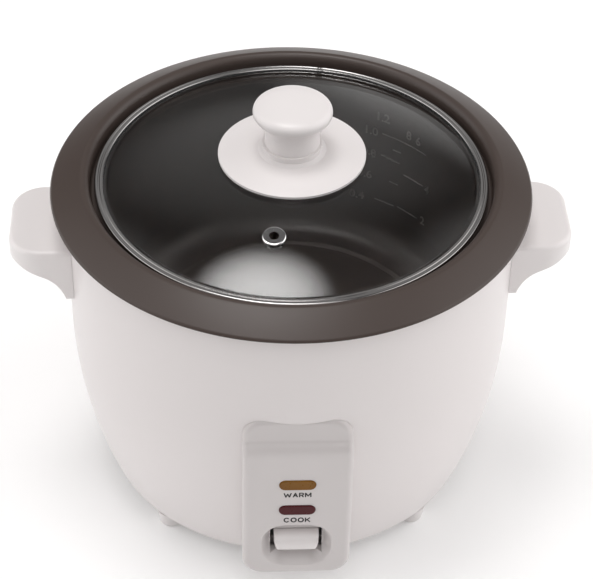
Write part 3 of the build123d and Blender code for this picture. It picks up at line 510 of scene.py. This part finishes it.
WORN = material("worn_coating", (0.20, 0.17, 0.16), 0.3, grain=900, bump=0.001, tint=0.06)
gather("pot_level_marks", level_marks, "pot", "pot_coating", sharp=30.0, finish=WORN)

# ---------------------------------------------------------------- lid rim
RIM_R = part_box("lid_rim")[1].x / MM
RIM_TOP = top_of("lid_rim")
RIM_BOTTOM = bottom_of("lid_rim")
RIM_INNER = 97.4
SHEET = 0.4
SEAM_ANGLE = 79.0
rim_section = rounded(
    [
        (RIM_INNER, RIM_TOP - 0.42, 0.1),
        (RIM_INNER + 0.5, RIM_TOP, 0.25),
        (99.0, RIM_TOP, 0.25),
        (99.35, RIM_TOP - 0.22, 0.2),
        (99.9, RIM_TOP - 0.22, 0.2),
        (100.25, RIM_TOP, 0.25),
        (RIM_R, RIM_TOP, 1.1),
        (RIM_R, RIM_BOTTOM, 1.1),
        (RIM_INNER, RIM_BOTTOM, 0.1),
        (RIM_INNER, RIM_BOTTOM + SHEET, 0.1),
        (RIM_R - SHEET, RIM_BOTTOM + SHEET, 0.7),
        (RIM_R - SHEET, RIM_TOP - SHEET - 0.03, 0.7),
        (RIM_INNER + 0.1, RIM_TOP - SHEET - 0.03, 0.05),
    ],
    steps=5,
)
rim_middle = ((RIM_R + RIM_INNER) / 2, (RIM_TOP + RIM_BOTTOM) / 2)
rim_ring = lathe(
    "rim_ring", rim_section, "lid", "rim_steel", segments=256,
    notch=(SEAM_ANGLE, Vector(rim_middle), 0.94),
)
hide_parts("lid_rim")

# ---------------------------------------------------------------- printed words
FACE_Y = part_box("control_housing")[0].y / MM
PRINT = material("print_black", (0.012, 0.011, 0.011), 0.4, grain=2500, bump=0.001, tint=0.1)


def arc(x, y, reach_x, reach_y, start, end, steps=14):
    turns = [math.radians(start + (end - start) * k / steps) for k in range(steps + 1)]
    return [(x + reach_x * math.cos(t), y + reach_y * math.sin(t)) for t in turns]


# relative width of each capital, and its strokes in a unit square
CAPITALS = {
    "W": (1.7, [[(0, 1), (0.24, 0), (0.5, 0.8), (0.76, 0), (1, 1)]]),
    "A": (1.0, [[(0, 0), (0.5, 1), (1, 0)], [(0.2, 0.32), (0.8, 0.32)]]),
    "R": (
        0.9,
        [
            [(0, 0), (0, 1), (0.65, 1), *arc(0.65, 0.74, 0.35, 0.26, 90, -90), (0, 0.48)],
            [(0.55, 0.48), (1, 0)],
        ],
    ),
    "M": (1.3, [[(0, 0), (0, 1), (0.5, 0.22), (1, 1), (1, 0)]]),
    "C": (1.05, [arc(0.5, 0.5, 0.5, 0.5, 38, 322)]),
    "O": (1.1, [arc(0.5, 0.5, 0.5, 0.5, 0, 360, 24)]),
    "K": (0.95, [[(0, 0), (0, 1)], [(1, 1), (0.08, 0.36)], [(0.34, 0.56), (1, 0)]]),
}


# share of half a stroke's width that a stretch runs past its ends
CORNER_CLOSING = 0.45


def printed(word, width, height, z, name, weight=0.72, gap=0.42, depth=0.03):
    """A word printed on the housing's face, in mm. weight is the width of a stroke.

    Each straight stretch is a thin box, a little longer than the stretch, so that corners close.
    """
    spans = [CAPITALS[letter][0] for letter in word]
    inner = width - weight * len(word) - gap * (len(word) - 1)
    tall = height - weight
    left = -width / 2
    shells = []
    for letter, span in zip(word, spans):
        wide = inner * span / sum(spans)
        for stroke in CAPITALS[letter][1]:
            points = [
                Vector((left + weight / 2 + x * wide, z - tall / 2 + y * tall)) for x, y in stroke
            ]
            for start, end in zip(points, points[1:]):
                along = (end - start).normalized() * weight / 2
                across = Vector((-along.y, along.x))
                tip = along * CORNER_CLOSING
                flat = [start - tip - across, end + tip - across, end + tip + across]
                flat.append(start - tip + across)
                corners = [
                    (p.x * MM, (FACE_Y + y) * MM, p.y * MM) for y in (-depth, depth) for p in flat
                ]
                faces = [(0, 1, 2, 3), (7, 6, 5, 4), (0, 4, 5, 1), (1, 5, 6, 2), (2, 6, 7, 3)]
                shells.append((corners, [*faces, (3, 7, 4, 0)]))
        left += wide + weight + gap
    gather(name, shells, "cooker_base", "black_plastic", sharp=30.0, finish=PRINT)


warm_z = (bottom_of("warm_lens") + top_of("warm_lens")) / 2
cook_z = (bottom_of("cook_lens") + top_of("cook_lens")) / 2
printed("WARM", 14.2, 3.5, warm_z - 7.3, "word_warm")
printed("COOK", 13.8, 3.6, cook_z - 7.5, "word_cook")
